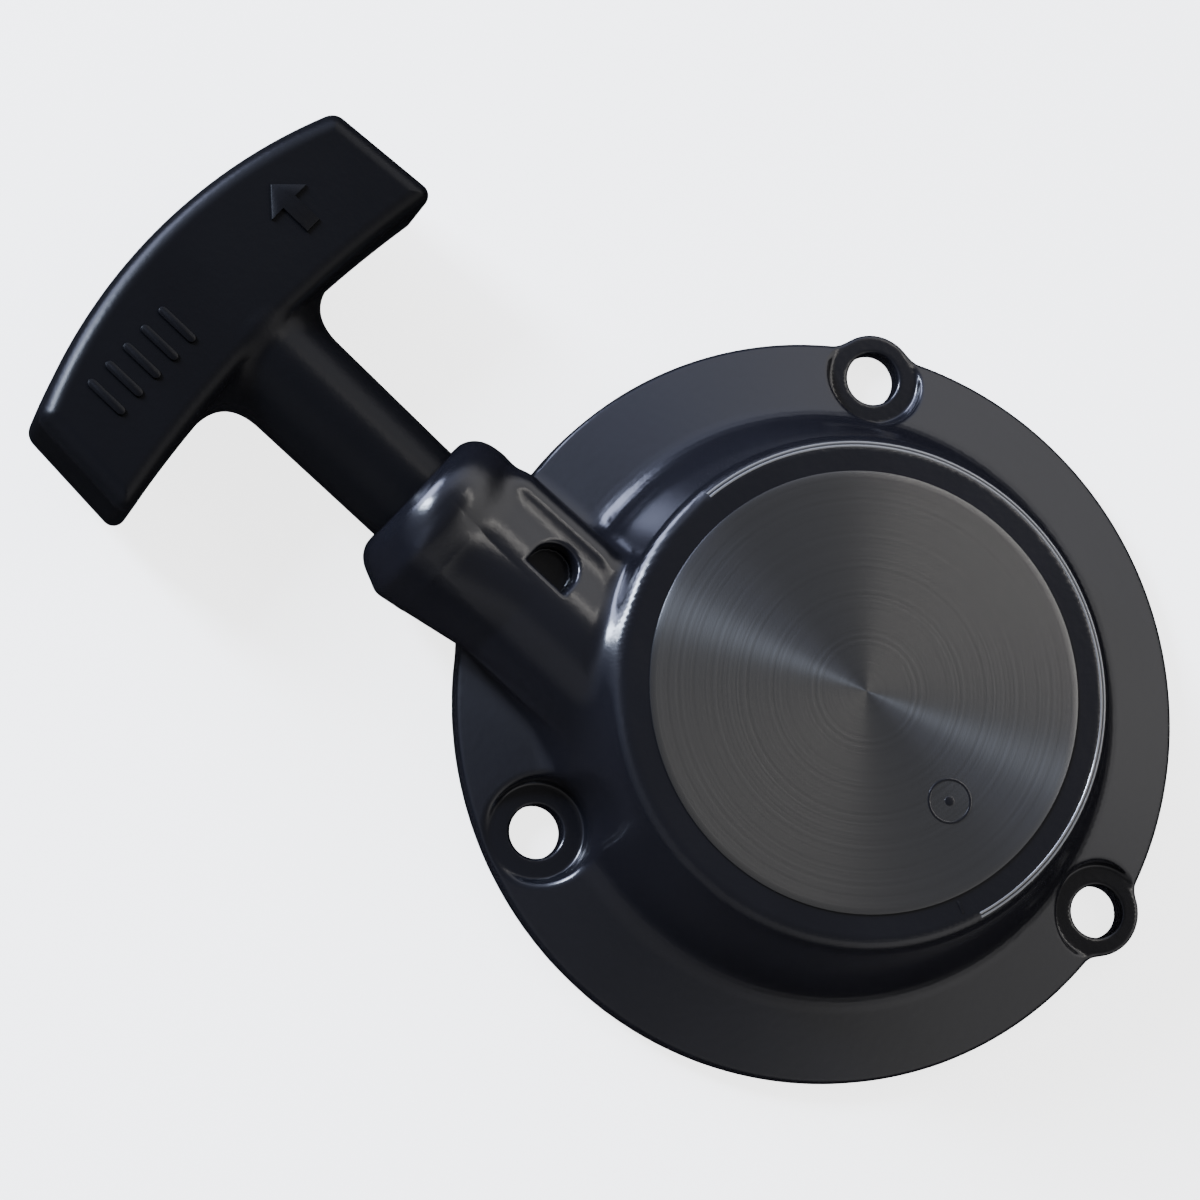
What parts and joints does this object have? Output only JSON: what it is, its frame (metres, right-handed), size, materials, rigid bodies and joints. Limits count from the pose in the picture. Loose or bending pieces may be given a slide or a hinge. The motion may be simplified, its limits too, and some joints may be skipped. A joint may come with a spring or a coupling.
{
  "type": "recoil starter",
  "caption": "Hand-pull recoil starter for a small engine: domed plastic case with screw ears, rope reel with pawls inside, and a T-handle on a tangential rope outlet.",
  "frame": {"origin": "middle of the whole object's footprint, on the plane of the engine-side mounting face; the crank axis stands 29.82 mm towards -X from it", "axes": "+Z along the crank axis, out of the dome's top; +X the way the rope is pulled, towards the T-handle; the rope's line is 21.5 mm towards +Y from the crank axis"},
  "size_m": [0.1754, 0.11, 0.0267],
  "materials": {
    "case_plastic": "glossy black moulded plastic, turned satin disc on top",
    "handle_plastic": "semi-gloss black moulded plastic",
    "reel_plastic": "natural off-white nylon",
    "steel": "bright zinc-plated steel",
    "spring_steel": "blued spring steel",
    "brass": "plain machined brass",
    "rope": "white braided polyester rope"
  },
  "bodies": {
    "case": {"starter_case": "case_plastic", "post_insert": "brass", "rope_guide": "steel", "spring_cover_plate": "steel", "centre_screw": "steel", "screw_washer": "steel", "recoil_spring": "spring_steel"},
    "reel": {"rope_reel": "reel_plastic", "wound_rope": "rope", "reel_knot": "rope", "pawl_pin_a": "steel", "pawl_pin_b": "steel", "pawl_spring_a": "spring_steel", "pawl_spring_b": "spring_steel"},
    "friction_guide": {"ratchet_guide": "steel", "drag_spring": "spring_steel"},
    "first_pawl": {"pawl_a": "steel"},
    "second_pawl": {"pawl_b": "steel"},
    "handle": {"pull_handle": "handle_plastic", "knot_washer": "steel", "handle_knot": "rope", "rope_run": "rope"}
  },
  "joints": [
    {"name": "handle_pull", "type": "slide", "parent": "case", "child": "handle", "axis": [1, 0, 0], "range_m": [0, 0.6], "stiffness_N_per_m": 12, "springref_m": -0.4, "deforming": ["rope_run"]},
    {"name": "reel_spin", "type": "hinge", "parent": "case", "child": "reel", "pos_m": [-0.02982, 0, 0.01], "axis": [0, 0, -1], "range_deg": [0, 1760], "deforming": ["recoil_spring"]},
    {"name": "guide_turn", "type": "hinge", "parent": "reel", "child": "friction_guide", "pos_m": [-0.02982, 0, 0.0045], "axis": [0, 0, 1], "range_deg": [0, 25]},
    {"name": "pawl_a_swing", "type": "hinge", "parent": "reel", "child": "first_pawl", "pos_m": [-0.01441, 0.00718, 0.0051], "axis": [0, 0, 1], "range_deg": [0, 30], "deforming": ["pawl_spring_a"]},
    {"name": "pawl_b_swing", "type": "hinge", "parent": "reel", "child": "second_pawl", "pos_m": [-0.04523, -0.00718, 0.0051], "axis": [0, 0, 1], "range_deg": [0, 30], "deforming": ["pawl_spring_b"]}
  ],
  "couplings": [
    {"joint": "reel_spin", "follows": "handle_pull", "rad_per_m": 50},
    {"joint": "pawl_a_swing", "follows": "guide_turn", "ratio": 1.2},
    {"joint": "pawl_b_swing", "follows": "guide_turn", "ratio": 1.2}
  ]
}
